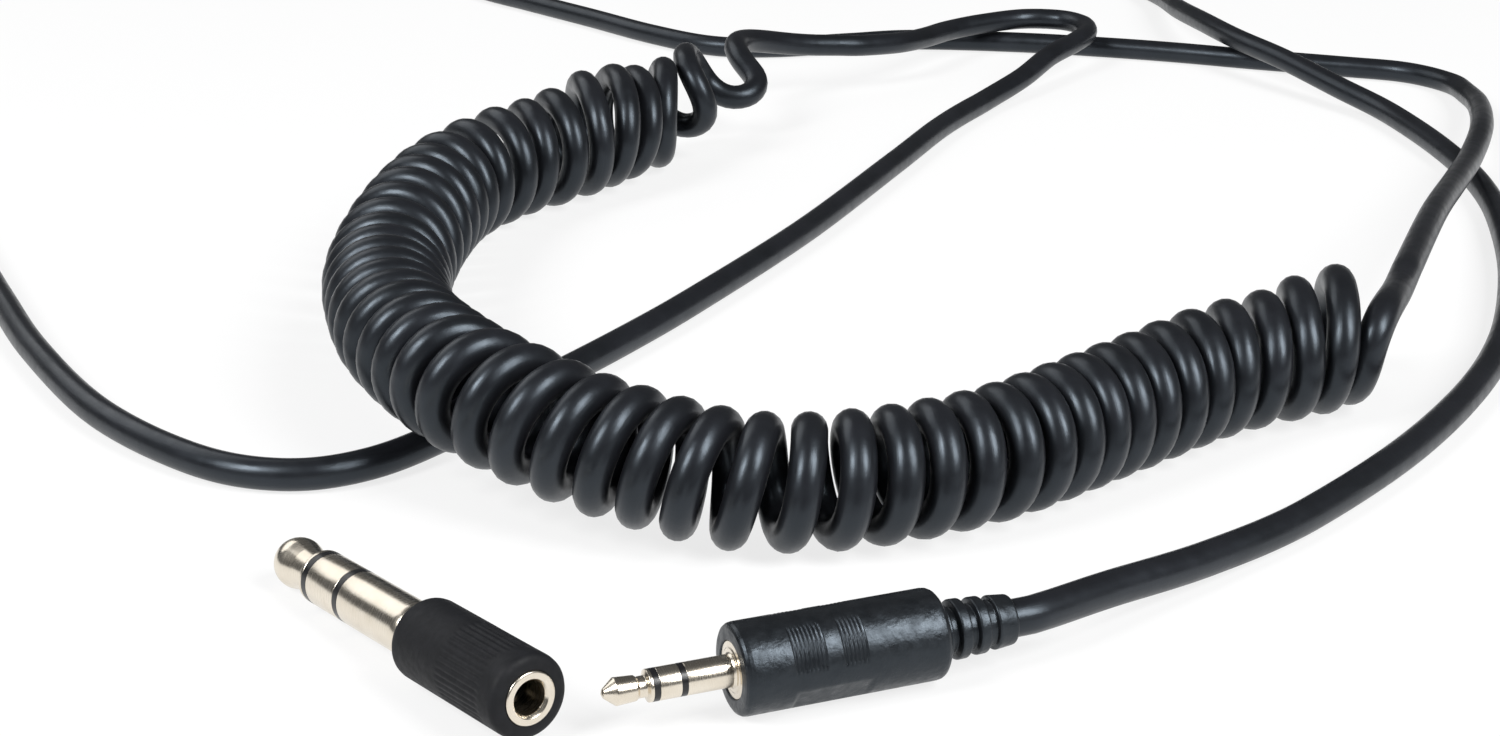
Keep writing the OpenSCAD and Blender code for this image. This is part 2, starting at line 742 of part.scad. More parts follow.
// Depth of the flat where the curl lies on the surface
curl_flat = cord_d / 10;
// Reach of the smooth bends between the straight cords and the curl, first and last
lead_in_reach = 9;
lead_out_reach = 14;
lead_steps = 7;

// A smooth line through the middle of four values, from the second to the third
function between(a, b, c, d, t) = 0.5 * (2 * b + (c - a) * t
    + (2 * a - 5 * b + 4 * c - d) * t * t + (3 * b - a - 3 * c + d) * t * t * t);

line_steps = 12;
curl_line = [
    for (i = [0:len(curl_route) - 2], k = [0:line_steps - 1])
        let (n = len(curl_route), b = curl_route[i], c = curl_route[i + 1],
             a = i == 0 ? 2 * b - c : curl_route[i - 1],
             d = i == n - 2 ? 2 * c - b : curl_route[i + 2])
            between(a, b, c, d, k / line_steps),
    curl_route[len(curl_route) - 1]
];

// Each column of the line as a table that the number of curls looks up
function column(k) = [for (p = curl_line) [p[3], p[k]]];
line_x = column(0);
line_y = column(1);
line_lift = column(2);
line_open = column(4);
line_lean = column(5);

function curl_r(turn) =
    (curl_od + (curl_end_od - curl_od) * lookup(turn, line_open) - cord_d) / 2;
function middle(turn) = [
    lookup(turn, line_x),
    lookup(turn, line_y),
    lookup(turn, line_lift) + curl_r(turn) + cord_r - curl_flat
];
function middle_way(turn) = unit(middle(turn + 0.4) - middle(turn - 0.4));

// A left-handed screw line round the middle line: top at whole turns, then left of the way
function curl_point(turn) =
    let (way = middle_way(turn), right = unit(cross(way, up)), top = cross(right, way),
         side = sin(360 * turn))
        middle(turn) + curl_r(turn)
            * (cos(360 * turn) * top - side * right + lookup(turn, line_lean) * side * way);
function curl_way(turn) = unit(curl_point(turn + 0.02) - curl_point(turn - 0.02));

function curl_points(per_curl) =
    let (count = round((curl_end - curl_start) * per_curl))
        [for (i = [0:count]) curl_point(curl_start + (curl_end - curl_start) * i / count)];

module plug_cord() {
    color(cord_black) tube(plug_route, cord_r, cord_sides);
}

module headphone_cord() {
    color(cord_black) tube(headphone_route, cord_r, cord_sides);
}

module curly_cord() {
    lead_in_end = curl_in + cord_d * curl_in_way;
    lead_out_start = curl_out - cord_d * curl_out_way;
    lead_in = [
        for (k = [0:lead_steps - 1])
            bend(lead_in_end, curl_in_way, curl_point(curl_start), curl_way(curl_start),
                 lead_in_reach, k / lead_steps)
    ];
    lead_out = [
        for (k = [1:lead_steps])
            bend(curl_point(curl_end), curl_way(curl_end), lead_out_start, curl_out_way,
                 lead_out_reach, k / lead_steps)
    ];
    route = concat([curl_in], lead_in, curl_points(rings_per_curl), lead_out, [curl_out]);
    color(cord_black) difference() {
        tube(route, cord_r, curl_sides);
        translate([-table / 2, -table / 2, -cord_d]) cube([table, table, cord_d]);
    }
}

// Least gap between a curl and the next, on points along the cord
gap_samples = 24;
gap_points = curl_points(gap_samples);
curl_gap = min([
    for (i = [0:len(gap_points) - 1])
        for (j = [i + gap_samples / 2:min(i + 3 * gap_samples / 2, len(gap_points) - 1)])
            norm(gap_points[i] - gap_points[j])
]) - cord_d;
echo(str("least gap between curls: ", curl_gap, " mm"));

plug_tip();
plug_tip_insulator();
plug_ring();
plug_ring_insulator();
plug_sleeve();
plug_wires();
plug_inner_mould();
plug_body();
adapter_tip();
adapter_tip_insulator();
adapter_ring();
adapter_ring_insulator();
adapter_sleeve();
adapter_ring_spring();
adapter_tip_spring();
adapter_liner();
adapter_bush();
adapter_body();
connector_contacts();
connector_insert();
connector_wires();
connector_clamp();
connector_latch();
connector_latch_pin();
connector_spring();
connector_shell();
connector_cap();
connector_boot();
plug_cord();
curly_cord();
headphone_cord();
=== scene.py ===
# %% [markdown]
# # A coiled headphone lead and its plug adapter
#
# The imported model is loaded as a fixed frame: every piece below is made in metres, in the
# same place as the solid that it dresses. The steps are: camera, cord, materials, small plug,
# adapter, headphone connector, floor and light.

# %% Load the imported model
import json
import math

import bmesh
import bpy
import numpy as np
from mathutils import Matrix, Vector

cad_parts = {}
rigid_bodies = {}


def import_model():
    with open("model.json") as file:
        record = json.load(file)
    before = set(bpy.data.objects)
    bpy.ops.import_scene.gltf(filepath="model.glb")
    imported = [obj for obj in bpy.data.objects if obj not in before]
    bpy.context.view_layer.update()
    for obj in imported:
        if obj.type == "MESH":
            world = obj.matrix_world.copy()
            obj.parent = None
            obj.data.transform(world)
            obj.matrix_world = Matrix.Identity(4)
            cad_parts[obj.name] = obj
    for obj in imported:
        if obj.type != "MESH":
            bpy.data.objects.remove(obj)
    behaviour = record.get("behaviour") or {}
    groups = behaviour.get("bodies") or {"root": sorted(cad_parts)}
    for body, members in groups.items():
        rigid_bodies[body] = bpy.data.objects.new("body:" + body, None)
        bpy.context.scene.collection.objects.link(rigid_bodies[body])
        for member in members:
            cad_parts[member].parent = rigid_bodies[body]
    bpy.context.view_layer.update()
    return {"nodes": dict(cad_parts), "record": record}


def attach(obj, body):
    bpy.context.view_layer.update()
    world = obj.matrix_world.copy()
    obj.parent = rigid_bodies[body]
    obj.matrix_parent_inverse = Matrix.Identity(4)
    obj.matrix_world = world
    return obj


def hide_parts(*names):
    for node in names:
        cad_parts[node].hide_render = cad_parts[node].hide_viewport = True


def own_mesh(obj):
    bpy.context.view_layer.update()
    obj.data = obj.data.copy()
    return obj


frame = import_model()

# %% [markdown]
# ## Camera
#
# A 60 mm lens on a 36 mm sensor, 126 mm above the table, looks down at 21 degrees. This is
# a close view, so the near pieces look clearly larger than the far cords.

# %% Camera
MM = 0.001
scene = bpy.context.scene

camera_data = bpy.data.cameras.new("camera")
camera_data.lens = 60
camera_data.sensor_width = 36
camera = bpy.data.objects.new("camera", camera_data)
camera.location = (0.015, -0.430, 0.1265)
camera.rotation_euler = (math.radians(90 - 20.85), 0, 0)
scene.collection.objects.link(camera)
scene.camera = camera
print("camera at", tuple(round(v, 4) for v in camera.location))

# %% [markdown]
# ## Where the hard pieces lie
#
# Each hard piece is drawn along its own +Z, which points out of its contacts, and is then
# laid on the table. Its own -X is up. All sizes are in millimetres until the last moment.

# %% Places of the hard pieces
CORD_R = 2.1
PLUG_AT, PLUG_HEADING = (13, -199, 5), 201.5
ADAPTER_AT, ADAPTER_HEADING, ADAPTER_TILT = (-19.5, -190.8, 4.597), 128.3, 3.279
CONNECTOR_AT, CONNECTOR_HEADING = (-134.8, 1, 5.5), 117


def placed(at, heading, tilt=0):
    """Matrix that lays a hard piece, drawn along its own +Z, on the table."""
    turn = Matrix.Rotation(math.radians(heading), 4, "Z")
    lay_down = Matrix.Rotation(math.radians(90 + tilt), 4, "Y")
    return Matrix.Translation(Vector(at) * MM) @ turn @ lay_down


def heading_vector(heading):
    angle = math.radians(heading)
    return np.array([math.cos(angle), math.sin(angle), 0])


PLUG = placed(PLUG_AT, PLUG_HEADING)
ADAPTER = placed(ADAPTER_AT, ADAPTER_HEADING, ADAPTER_TILT)
CONNECTOR = placed(CONNECTOR_AT, CONNECTOR_HEADING)
plug_way = heading_vector(PLUG_HEADING)
connector_way = heading_vector(CONNECTOR_HEADING)
print("the small plug points along", plug_way.round(3))

# %% [markdown]
# ## The cord's route
#
# The lead is one cord, 3.8 m long: a straight stretch from the small plug, the curl, and a
# straight stretch to the headphone connector. The same points as in the solids are joined
# by a smooth line here.

# %% Route points
plug_start = np.array(PLUG_AT, float)
connector_start = np.array(CONNECTOR_AT, float)


def unit(v):
    return v / np.linalg.norm(v)


curl_in = np.array([106.7, -97.6, 13.6])
curl_in_way = unit(np.array([-0.36, -0.93, 0]))
curl_out = np.array([32, 58, 9.4])
curl_out_way = unit(np.array([0.9, 0.4, -0.1]))

JACKET_END = 13
PLUG_LENGTH = 32.2
plug_route = [
    plug_start - JACKET_END * plug_way,
    plug_start - PLUG_LENGTH * plug_way,
    (47, -185, 4.9), (55, -178, 4.1), (68, -167, 2.7), (82, -154, 2.1), (99, -134, 2.1),
    (113, -113, 2.1), (123, -93, 2.1), (131, -70, 2.1), (137, -46, 2.1), (141, -20, 2.1),
    (141, 5, 2.1), (137, 31, 2.4), (130, 46, 3.9), (122, 60, 6), (115, 74, 6.9),
    (111, 90, 6.7), (109, 110, 5),
    (108, 135, 2.8), (101, 160, 2.1), (86, 183, 2.1), (62, 199.5, 2.1), (32, 206.9, 2.1),
    (0, 205.5, 2.1), (-30, 196, 2.1), (-52, 179, 2.1), (-56, 159, 2.1), (-47, 143, 2.1),
    (-35, 130, 2.1), (-20, 114, 2.1), (-6, 98.5, 2.1), (7, 88, 2.1), (20, 86.5, 2.1),
    (36, 90.5, 2.1), (50, 93.5, 2.1), (72, 91, 2.1), (90, 86.5, 2.1), (104, 82, 2.1),
    (118, 76.5, 2.1),
    (136, 70, 2.1), (148, 65, 2.1), (154.5, 56, 2.2), (155, 45, 2.8), (153, 30, 4.3),
    (147, 7, 6.4), (139, -15, 7.2), (130.5, -36, 9), (120.5, -61, 11.6),
    curl_in - 6 * curl_in_way,
    curl_in,
]
CONNECTOR_JACKET_END = 17
headphone_route = [
    curl_out,
    curl_out + 6 * curl_out_way,
    (45, 66, 8), (50.5, 73.5, 7.2), (56.5, 82.5, 6.7), (64, 88.5, 6.7), (73, 93.5, 6.6),
    (81, 92.5, 6.6), (85, 87, 6.7), (85, 80.5, 6.6), (82, 73.5, 6.5), (75.5, 64.5, 5.6),
    (69, 54.5, 3.6), (60.5, 42, 2.2), (51, 24, 2.1),
    (41, 0, 2.1), (24, -40, 2.1), (7, -74, 2.1), (-3, -92, 2.1),
    (-14, -110, 2.1), (-25, -128, 2.1), (-34, -138, 2.1), (-44, -141, 2.1),
    (-56, -136, 2.1), (-72, -120, 2.1), (-87, -96, 2.1), (-98, -74, 2.1),
    (-109, -51, 2.1), (-119, -31, 3),
    connector_start - 9 * connector_way,
    connector_start,
    connector_start + CONNECTOR_JACKET_END * connector_way,
]

# The curl's middle line: x, y, lift off the table, curls made so far, how far it has opened
# from its usual to its last diameter, and how far its curls lean along the line
curl_route = np.array([
    (102.1, -106.3, 0, -0.5, 0.32, 1.04), (92.9, -112.6, 0, 1.22, 0.64, 0.6),
    (85.5, -116.8, 0, 2.64, 0.33, 0.4), (75.3, -123, 0, 4.61, 0.23, 0.36),
    (63.2, -133.4, 0, 7.47, 0.1, 0.25), (48.1, -146.6, 0, 11.48, 0.02, 0.1),
    (38.8, -152.6, 0, 13.63, 0.01, 0.05), (29, -156.6, 0, 15.69, 0.01, 0),
    (19.5, -158.2, 0, 17.43, 0.02, 0), (10.3, -157.6, 0.6, 18.97, 0.05, 0),
    (-3.6, -152.9, 2.7, 21.81, 0.07, 0), (-13.8, -146.6, 4.6, 24.04, 0.09, 0),
    (-21.4, -138.7, 5.3, 25.96, 0.08, 0), (-29.3, -124.8, 5.3, 29.08, 0.08, 0),
    (-33.7, -110.5, 4.3, 31.78, 0.16, 0), (-37.1, -87.8, 1.4, 35.07, 0.42, 0),
    (-36.9, -61.8, 0, 37.99, 0.52, 0.1), (-33.6, -42.1, 0, 40.9, 0.5, 0.2),
    (-26.8, -27.7, 0, 42.9, 0.54, 0.25), (-18.7, -17.8, 0, 44.75, 0.58, 0.3),
    (-10.7, -7.2, 0, 46.5, 0.99, 0.67), (-3.6, 2.8, 0, 48.4, 0.48, 0.51),
    (2.8, 7, 3, 49.2, 0.08, 0.45), (2.6, 14, 4.6, 49.95, -0.27, 0.74),
    (13.3, 26.7, 5.6, 50.65, -1.27, 0.23), (-8, 41.9, 3.9, 51.4, -1.04, 0.02),
])
CURL_START, CURL_END = 0.28, 50.75
CURL_OD, CURL_END_OD = 16.6, 21
print(len(plug_route), len(headphone_route), "points on the straight cords;",
      round(CURL_END - CURL_START, 1), "curls")

# %% [markdown]
# A smooth line through points is made of short arcs between each pair (Catmull-Rom). The
# curl is a left-handed screw line round such a line, with its radius and lean taken from
# the table above.

# %% Smooth lines
def between(a, b, c, d, t):
    """A smooth line through four values, from the second to the third."""
    return 0.5 * (2 * b + (c - a) * t + (2 * a - 5 * b + 4 * c - d) * t * t
                  + (3 * b - a - 3 * c + d) * t ** 3)


def smooth_line(points, steps):
    points = np.array(points, float)
    ends = np.vstack([2 * points[0] - points[1], points, 2 * points[-1] - points[-2]])
    line = [between(*ends[i:i + 4], k / steps)
            for i in range(len(points) - 1) for k in range(steps)]
    return np.array(line + [points[-1]])


STEPS_BETWEEN_POINTS = 12


def straight_cord_line(points):
    """The route of a straight cord, which never dips below the table."""
    line = smooth_line(points, STEPS_BETWEEN_POINTS)
    line[:, 2] = np.maximum(line[:, 2], CORD_R)
    return line


def bend(a, a_way, b, b_way, reach, count):
    """Points of a Bezier curve that leaves a and arrives at b in given directions."""
    p, q = a + reach * a_way, b - reach * b_way
    t = np.linspace(0, 1, count)[:, None]
    return (1 - t) ** 3 * a + 3 * (1 - t) ** 2 * t * p + 3 * (1 - t) * t ** 2 * q + t ** 3 * b


curl_line = smooth_line(curl_route, STEPS_BETWEEN_POINTS)


def curl_column(turn, column):
    return np.interp(turn, curl_line[:, 3], curl_line[:, column])


def curl_radius(turn):
    open_part = curl_column(turn, 4)
    return (CURL_OD + (CURL_END_OD - CURL_OD) * open_part) / 2 - CORD_R


def middle(turn):
    height = curl_column(turn, 2) + curl_radius(turn) + CORD_R
    return np.array([curl_column(turn, 0), curl_column(turn, 1), height])


def curl_point(turn):
    way = unit(middle(turn + 0.4) - middle(turn - 0.4))
    right = unit(np.cross(way, (0, 0, 1)))
    top = np.cross(right, way)
    angle = 2 * math.pi * turn
    lean = curl_column(turn, 5) * math.sin(angle)
    offset = math.cos(angle) * top - math.sin(angle) * right + lean * way
    return middle(turn) + curl_radius(turn) * offset


def curl_way(turn):
    return unit(curl_point(turn + 0.02) - curl_point(turn - 0.02))


LEAD_IN_REACH, LEAD_OUT_REACH = 9, 14
LEAD_SAMPLES = 16
TURN_SAMPLES = 2000
turns = np.linspace(CURL_START, CURL_END, TURN_SAMPLES)
curl_points = np.array([curl_point(t) for t in turns])
lead_in = bend(curl_in + 2 * CORD_R * curl_in_way, curl_in_way,
               curl_points[0], curl_way(CURL_START), LEAD_IN_REACH, LEAD_SAMPLES)
lead_out = bend(curl_points[-1], curl_way(CURL_END),
                curl_out - 2 * CORD_R * curl_out_way, curl_out_way, LEAD_OUT_REACH,
                LEAD_SAMPLES)


def evenly_spaced(line, step):
    """The same line with points one step apart along it."""
    parts = np.linalg.norm(np.diff(line, axis=0), axis=1)
    along = np.concatenate([[0], np.cumsum(parts)])
    wanted = np.linspace(0, along[-1], round(along[-1] / step))
    return np.stack([np.interp(wanted, along, line[:, k]) for k in range(3)], axis=1)


STEP = 1.1
straight_in = evenly_spaced(straight_cord_line(plug_route), STEP)
curl = evenly_spaced(np.vstack([lead_in, curl_points[1:-1], lead_out]), STEP)
straight_out = evenly_spaced(straight_cord_line(headphone_route), STEP)
cord_path = np.vstack([straight_in, curl, straight_out])
curl_first = len(straight_in)
curl_last = len(straight_in) + len(curl)


def path_length(path):
    return np.linalg.norm(np.diff(path, axis=0), axis=1).sum() * MM


print("whole cord:", len(cord_path), "points,", round(path_length(cord_path), 3), "m")

# %% [markdown]
# ## Materials
#
# Every material is made of nodes. Noise breaks up the roughness and the surface a little,
# at the scale of the real thing: a noise scale of 1000 has features of about a millimetre,
# because coordinates are in metres.

# %% Material makers
def new_material(name, colour, roughness, metallic=0.0, coat=0.0):
    material = bpy.data.materials.new(name)
    material.use_nodes = True
    shader = material.node_tree.nodes["Principled BSDF"]
    shader.inputs["Base Color"].default_value = (*colour, 1)
    shader.inputs["Roughness"].default_value = roughness
    shader.inputs["Metallic"].default_value = metallic
    shader.inputs["Coat Weight"].default_value = coat
    return material


def add_noise(material, scale, detail=4, stretch=(1, 1, 1), source="Object"):
    """A noise texture's output, in object space or along a piece's own UV map."""
    tree = material.node_tree
    coordinates = tree.nodes.new("ShaderNodeTexCoord")
    mapping = tree.nodes.new("ShaderNodeMapping")
    mapping.inputs["Scale"].default_value = stretch
    noise = tree.nodes.new("ShaderNodeTexNoise")
    noise.inputs["Scale"].default_value = scale
    noise.inputs["Detail"].default_value = detail
    tree.links.new(coordinates.outputs[source], mapping.inputs["Vector"])
    tree.links.new(mapping.outputs["Vector"], noise.inputs["Vector"])
    return noise.outputs["Fac"]


def remap(material, value, low_in, high_in, low_out, high_out):
    tree = material.node_tree
    node = tree.nodes.new("ShaderNodeMapRange")
    for name, number in zip(("From Min", "From Max", "To Min", "To Max"),
                            (low_in, high_in, low_out, high_out)):
        node.inputs[name].default_value = number
    tree.links.new(value, node.inputs["Value"])
    return node.outputs["Result"]


def vary_roughness(material, value, low, high):
    """Lets a noise move the roughness between two values."""
    shader = material.node_tree.nodes["Principled BSDF"]
    result = remap(material, value, 0.3, 0.7, low, high)
    material.node_tree.links.new(result, shader.inputs["Roughness"])


def vary_colour(material, value, low, high, at=(0.35, 0.65)):
    """Lets a noise mix two base colours."""
    tree = material.node_tree
    ramp = tree.nodes.new("ShaderNodeValToRGB")
    for element, place, colour in zip(ramp.color_ramp.elements, at, (low, high)):
        element.position = place
        element.color = (*colour, 1)
    tree.links.new(value, ramp.inputs["Fac"])
    tree.links.new(ramp.outputs["Color"],
                   tree.nodes["Principled BSDF"].inputs["Base Color"])
    return ramp


def add_bump(material, value, height_mm, strength=1.0):
    """Raises the surface by a noise; several bumps follow one another."""
    tree = material.node_tree
    shader = tree.nodes["Principled BSDF"]
    bump = tree.nodes.new("ShaderNodeBump")
    bump.inputs["Strength"].default_value = strength
    bump.inputs["Distance"].default_value = height_mm * MM
    tree.links.new(value, bump.inputs["Height"])
    earlier = shader.inputs["Normal"].links
    if earlier:
        tree.links.new(earlier[0].from_socket, bump.inputs["Normal"])
    tree.links.new(bump.outputs["Normal"], shader.inputs["Normal"])


# %% [markdown]
# The cord's jacket is satin PVC, nearly black with a cool tint, with faint flow lines along
# its length. The small plug's moulding has a fine mottled grain, and the adapter is matt.

# %% Plastics and rubber
COOL_GLOSS = (0.74, 0.87, 1.0, 1)


def cool_gloss(material):
    """Tints the reflections of a black plastic a little blue."""
    shader = material.node_tree.nodes["Principled BSDF"]
    shader.inputs["Specular Tint"].default_value = COOL_GLOSS


cord_black = new_material("cord_black", (0.0085, 0.009, 0.011), 0.34)
cool_gloss(cord_black)
vary_colour(cord_black, add_noise(cord_black, 120),
            (0.007, 0.0075, 0.009), (0.0105, 0.011, 0.0135))
vary_roughness(cord_black, add_noise(cord_black, 420), 0.3, 0.4)
add_bump(cord_black, add_noise(cord_black, 1500, 3), 0.012)
add_bump(cord_black, add_noise(cord_black, 9, 2, (2, 0.12, 1), "UV"), 0.03)

plug_black = new_material("plug_black", (0.008, 0.0088, 0.01), 0.4)
cool_gloss(plug_black)
vary_colour(plug_black, add_noise(plug_black, 500),
            (0.006, 0.0068, 0.008), (0.01, 0.011, 0.0125))
vary_roughness(plug_black, add_noise(plug_black, 900, 5), 0.26, 0.46)
add_bump(plug_black, add_noise(plug_black, 1100, 5), 0.07)
add_bump(plug_black, add_noise(plug_black, 4200, 2), 0.012)

adapter_black = new_material("adapter_black", (0.0075, 0.008, 0.0095), 0.6)
adapter_shader = adapter_black.node_tree.nodes["Principled BSDF"]
adapter_shader.inputs["Specular IOR Level"].default_value = 0.22
vary_colour(adapter_black, add_noise(adapter_black, 700),
            (0.0065, 0.007, 0.0085), (0.009, 0.0095, 0.0115))
vary_roughness(adapter_black, add_noise(adapter_black, 1300, 4), 0.54, 0.68)
add_bump(adapter_black, add_noise(adapter_black, 5200, 3), 0.012)

boot_black = new_material("boot_black", (0.014, 0.0145, 0.016), 0.55)
vary_colour(boot_black, add_noise(boot_black, 400),
            (0.011, 0.0115, 0.013), (0.018, 0.0185, 0.02))
vary_roughness(boot_black, add_noise(boot_black, 800), 0.48, 0.64)
add_bump(boot_black, add_noise(boot_black, 3000, 3), 0.015)

ring_black = new_material("ring_black", (0.008, 0.008, 0.009), 0.3)
vary_roughness(ring_black, add_noise(ring_black, 1200), 0.24, 0.38)
add_bump(ring_black, add_noise(ring_black, 3000, 2), 0.006)

inner_plastic = new_material("inner_plastic", (0.62, 0.6, 0.53), 0.5)
vary_colour(inner_plastic, add_noise(inner_plastic, 300),
            (0.56, 0.54, 0.47), (0.66, 0.64, 0.57))
vary_roughness(inner_plastic, add_noise(inner_plastic, 900), 0.42, 0.58)
print("plastics and rubber made")

# %% [markdown]
# The contacts are warm nickel plate, turned on a lathe: very fine marks run round them, so
# their noise is stretched along the piece's own UV map, where U goes round and V along.

# %% Metals
contact_metal = new_material("contact_metal", (0.78, 0.71, 0.605), 0.2, metallic=1)
vary_colour(contact_metal, add_noise(contact_metal, 350, 5),
            (0.75, 0.68, 0.57), (0.81, 0.745, 0.64))
vary_roughness(contact_metal, add_noise(contact_metal, 240, 4, (0.02, 1, 1), "UV"),
               0.18, 0.3)
add_bump(contact_metal, add_noise(contact_metal, 300, 2, (0.01, 1, 1), "UV"), 0.0015)

connector_metal = new_material("connector_metal", (0.6, 0.595, 0.58), 0.3, metallic=1)
vary_colour(connector_metal, add_noise(connector_metal, 200, 4),
            (0.56, 0.555, 0.54), (0.64, 0.635, 0.62))
vary_roughness(connector_metal, add_noise(connector_metal, 900, 3), 0.25, 0.37)
add_bump(connector_metal, add_noise(connector_metal, 5000, 2), 0.002)

spring_metal = new_material("spring_metal", (0.7, 0.66, 0.58), 0.28, metallic=1)
vary_roughness(spring_metal, add_noise(spring_metal, 1500), 0.2, 0.36)

gold_contacts = new_material("gold_contacts", (0.83, 0.6, 0.24), 0.22, metallic=1)
vary_roughness(gold_contacts, add_noise(gold_contacts, 1500), 0.16, 0.3)

copper = new_material("copper", (0.72, 0.4, 0.24), 0.35, metallic=1)
vary_roughness(copper, add_noise(copper, 1500), 0.28, 0.45)
add_bump(copper, add_noise(copper, 3000, 2), 0.02)
print("metals made")

# %% [markdown]
# Solids whose shape is right keep it and get their material here. Later pieces stand for
# the others.

# %% Materials of the solids
MATERIAL_OF_SLOT = {
    "contact_metal": contact_metal, "ring_black": ring_black, "copper": copper,
    "inner_plastic": inner_plastic, "plug_black": plug_black,
    "adapter_black": adapter_black, "spring_metal": spring_metal,
    "gold_contacts": gold_contacts, "connector_metal": connector_metal,
    "boot_black": boot_black, "cord_black": cord_black,
}
slot_of_node = {part["node"]: part["material_slot"] for part in frame["record"]["subparts"]}
for name, node in frame["nodes"].items():
    for holder in node.material_slots:
        holder.material = MATERIAL_OF_SLOT[slot_of_node[name]]
# The plastic that lines the adapter's socket gets the black ring material as painted shade: it
# stands for the shade deep inside the socket
for holder in frame["nodes"]["adapter_liner"].material_slots:
    holder.material = ring_black
print(len(slot_of_node), "solids have their material")

# %% [markdown]
# ## The cord
#
# A round tube follows the route. Its rings are carried along without twisting, so the flow
# lines of its material run straight along it. The curl's jacket is a little fuller than the
# straight cord's, so that its curls nearly touch, as in the photograph.

# %% Tube along a line
def carried_frames(path):
    """Two directions square to the path at each point, carried along without twist."""
    ways = np.gradient(path, axis=0)
    ways /= np.linalg.norm(ways, axis=1)[:, None]
    side = unit(np.cross(ways[0], (0, 0, 1)))
    frames = []
    for way in ways:
        side = unit(side - side.dot(way) * way)
        frames.append((side, np.cross(way, side)))
    return frames


def add_object(name, mesh, body, material):
    piece = bpy.data.objects.new(name, mesh)
    scene.collection.objects.link(piece)
    mesh.materials.append(material)
    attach(piece, body)
    return piece


def grid_mesh(name, rings, close_ends, lengths):
    """A mesh from rings of points, each joined to the next, with a UV map: U goes round the
    ring and V, in centimetres, from ring to ring."""
    sides = len(rings[0])
    builder = bmesh.new()
    uv = builder.loops.layers.uv.new("UVMap")
    corners = [[builder.verts.new(p) for p in ring] for ring in rings]
    for i in range(len(rings) - 1):
        for k in range(sides):
            j = (k + 1) % sides
            face = builder.faces.new(
                (corners[i][k], corners[i][j], corners[i + 1][j], corners[i + 1][k]))
            face.smooth = True
            places = ((k, i), (k + 1, i), (k + 1, i + 1), (k, i + 1))
            for loop, (u, v) in zip(face.loops, places):
                loop[uv].uv = (u / sides, lengths[v] * 100)
    if close_ends:
        for end in (corners[0][::-1], corners[-1]):
            for edge in builder.faces.new(end).edges:
                edge.smooth = False
    bmesh.ops.remove_doubles(builder, verts=builder.verts, dist=1e-7)
    bmesh.ops.recalc_face_normals(builder, faces=builder.faces)
    mesh = bpy.data.meshes.new(name)
    builder.to_mesh(mesh)
    builder.free()
    return mesh


CURL_EXTRA_R = 0.12
CURL_SWELL_RINGS = 12
CORD_SIDES = 18
angles = np.linspace(0, 2 * math.pi, CORD_SIDES, endpoint=False)
# Rings from the nearer end of the curl, up to where its jacket is at its fullest
ring_numbers = np.arange(len(cord_path))
rings_in = np.clip(np.minimum(ring_numbers - curl_first, curl_last - ring_numbers),
                   0, CURL_SWELL_RINGS)
ring_swell = CURL_EXTRA_R * rings_in / CURL_SWELL_RINGS
# The fuller jacket still lies on the table, so its middle line rises as much as it swells
ring_middles = cord_path + np.outer(ring_swell, (0, 0, 1))
cord_rings = [
    (middle_point + (CORD_R + swell)
     * (np.cos(angles)[:, None] * a + np.sin(angles)[:, None] * b)) * MM
    for middle_point, swell, (a, b) in zip(ring_middles, ring_swell, carried_frames(cord_path))
]


def cord_piece(name, node, first, last):
    """One stretch of the cord, from one point of the route to another."""
    path = cord_path[first:last]
    along = np.arange(len(path)) * STEP * MM
    mesh = grid_mesh(name, cord_rings[first:last], True, along)
    piece = add_object(name, mesh, "lead", cord_black)
    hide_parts(node)
    print(name, round(path_length(path), 3), "m,", len(mesh.polygons), "faces")
    return piece, path


# Neighbouring stretches share one ring, so that no joint shows
plug_lead, plug_lead_path = cord_piece("plug_lead", "plug_cord", 0, curl_first + 1)
curly_lead, curly_lead_path = cord_piece("curly_lead", "curly_cord", curl_first,
                                         curl_last + 1)
phone_lead, phone_lead_path = cord_piece("headphone_lead", "headphone_cord", curl_last,
                                         len(cord_path))

# %% [markdown]
# ## Turned pieces
#
# A turned piece is an outline of (radius, place along the axis) swept round the axis. Each
# corner of the outline may carry a third number, the radius that rounds it off, as the
# edges of real mouldings and turned metal are never sharp. A shape function may move the
# radius with the angle, for ribs, grooves and flats.

# %% Turned pieces
def rounded(outline, steps=4):
    """The closed outline with its corners rounded off by their third number."""
    points = []
    count = len(outline)
    for i, corner in enumerate(outline):
        here = np.array(corner[:2], float)
        radius = corner[2] if len(corner) > 2 else 0
        if radius == 0:
            points.append(here)
            continue
        before = unit(np.array(outline[i - 1][:2], float) - here)
        after = unit(np.array(outline[(i + 1) % count][:2], float) - here)
        half = math.acos(max(-1, min(1, before.dot(after)))) / 2
        reach = radius / math.tan(half)
        start, end = here + reach * before, here + reach * after
        for t in np.linspace(0, 1, steps + 1):
            points.append((1 - t) ** 2 * start + 2 * (1 - t) * t * here + t ** 2 * end)
    return points


def refined(points, longest):
    """The outline with its long straight parts cut into pieces of at most this length."""
    result = []
    for i, here in enumerate(points):
        following = points[(i + 1) % len(points)]
        count = max(1, math.ceil(np.linalg.norm(following - here) / longest))
        result += [here + (following - here) * k / count for k in range(count)]
    return result


